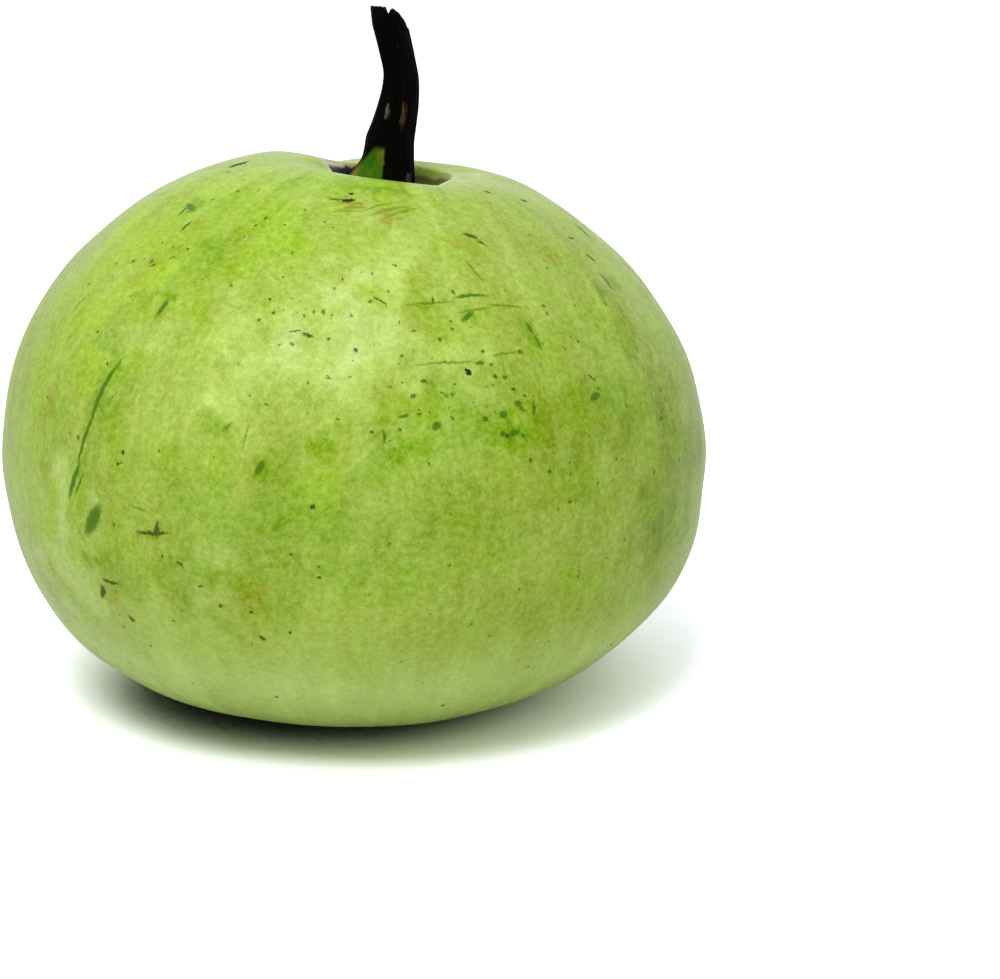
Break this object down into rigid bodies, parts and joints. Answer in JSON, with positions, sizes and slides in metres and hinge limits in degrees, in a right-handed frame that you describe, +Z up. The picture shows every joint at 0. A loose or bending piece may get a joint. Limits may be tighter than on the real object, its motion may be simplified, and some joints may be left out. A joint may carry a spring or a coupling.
{
  "type": "apple gourd",
  "caption": "Whole round bottle gourd of apple shape with a dry curved stalk; its settled blossom end is the face it rests on.",
  "frame": {"origin": "on the resting plane, under the middle of the gourd's outline seen from above", "axes": "+Z up out of the resting face; the stalk leans slightly toward +X and +Y; -Y is the front"},
  "size_m": [0.1874, 0.1854, 0.1828],
  "materials": {
    "skin": "smooth waxy yellow-green gourd skin with a cloudy pale bloom, dark green flecks and small brown scabs",
    "stalk_bark": "dry blackened stalk bark, ridged lengthwise, with a green patch at its foot"
  },
  "bodies": {
    "root": {"fruit": "skin", "stalk": "stalk_bark"}
  },
  "joints": []
}
